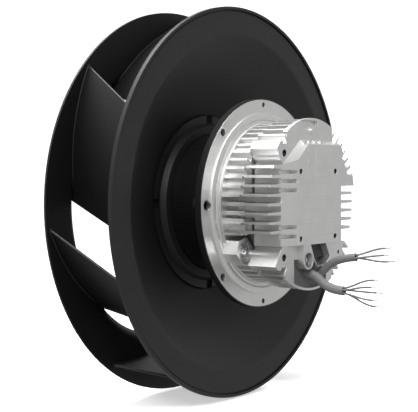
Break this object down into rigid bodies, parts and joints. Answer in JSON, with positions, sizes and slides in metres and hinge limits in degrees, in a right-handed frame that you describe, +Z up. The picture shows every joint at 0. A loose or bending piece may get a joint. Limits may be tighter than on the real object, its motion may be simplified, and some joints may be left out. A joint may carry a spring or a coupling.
{
  "type": "plug fan",
  "caption": "Backward-curved plug fan wheel on an external-rotor motor with a finned electronics housing, a bolting flange and stripped cable stubs.",
  "frame": {"origin": "centre of the bolting flange's outer face, on the fan axis", "axes": "-Y along the fan axis out of the flange's outer face towards the electronics, +Y towards the wheel and its inlet, +Z up, the cable outlet at the bottom"},
  "size_m": [0.317, 0.2237, 0.317],
  "materials": {
    "wheel_plastic": "fine grained, slight sheen",
    "ring_plastic": "fine grained",
    "cast_aluminium": "die cast, satin",
    "rotor_steel": "black coated",
    "magnet": "sintered",
    "screw_steel": "zinc plated",
    "bearing_steel": "ground",
    "cage_brass": "satin",
    "core_iron": "laminated",
    "winding": "enamelled copper",
    "gasket": "matt",
    "grommet": "matt",
    "insert_plastic": "matt",
    "board": "solder mask",
    "capacitor": "sleeved",
    "jacket": "soft grey jacket",
    "core_sleeve": "smooth grey sleeve",
    "wire": "tinned strands"
  },
  "bodies": {
    "motor": {"flange_back_ring": "ring_plastic", "motor_flange": "cast_aluminium", "electronics_cover": "cast_aluminium", "cover_screws": "screw_steel", "boss_screw": "screw_steel", "earth_screw": "screw_steel", "wave_washer": "bearing_steel", "front_bearing_outer": "bearing_steel", "rear_bearing_outer": "bearing_steel", "stator_stack": "core_iron", "filter_choke": "core_iron", "stator_coils": "winding", "housing_gasket": "gasket", "cable_grommet": "grommet", "pocket_insert": "insert_plastic", "circuit_board": "board", "capacitors": "capacitor", "power_cable": "jacket", "signal_cable": "jacket", "power_core_1": "core_sleeve", "power_core_2": "core_sleeve", "power_core_3": "core_sleeve", "power_core_4": "core_sleeve", "power_core_5": "core_sleeve", "signal_core_1": "core_sleeve", "signal_core_2": "core_sleeve", "signal_core_3": "core_sleeve", "power_core_ends": "wire", "signal_core_ends": "wire"},
    "impeller": {"wheel_back_disc": "wheel_plastic", "wheel_shroud": "wheel_plastic", "wheel_blade_1": "wheel_plastic", "wheel_blade_2": "wheel_plastic", "wheel_blade_3": "wheel_plastic", "wheel_blade_4": "wheel_plastic", "wheel_blade_5": "wheel_plastic", "wheel_blade_6": "wheel_plastic", "wheel_blade_7": "wheel_plastic", "wheel_screws": "screw_steel", "rotor_cup": "rotor_steel", "magnet_ring": "magnet", "rotor_shaft": "bearing_steel", "shaft_circlip": "bearing_steel", "front_bearing_inner": "bearing_steel", "rear_bearing_inner": "bearing_steel"},
    "front_cage": {"front_bearing_cage": "cage_brass", "front_bearing_balls": "bearing_steel"},
    "rear_cage": {"rear_bearing_cage": "cage_brass", "rear_bearing_balls": "bearing_steel"}
  },
  "joints": [
    {"name": "impeller_spin", "type": "hinge", "parent": "motor", "child": "impeller", "pos_m": [0, 0.066, 0], "axis": [0, -1, 0], "continuous": true},
    {"name": "front_cage_spin", "type": "hinge", "parent": "motor", "child": "front_cage", "pos_m": [0, 0.054, 0], "axis": [0, -1, 0], "continuous": true},
    {"name": "rear_cage_spin", "type": "hinge", "parent": "motor", "child": "rear_cage", "pos_m": [0, 0.006, 0], "axis": [0, -1, 0], "continuous": true}
  ],
  "couplings": [
    {"joint": "front_cage_spin", "follows": "impeller_spin", "ratio": 0.381},
    {"joint": "rear_cage_spin", "follows": "impeller_spin", "ratio": 0.381}
  ]
}
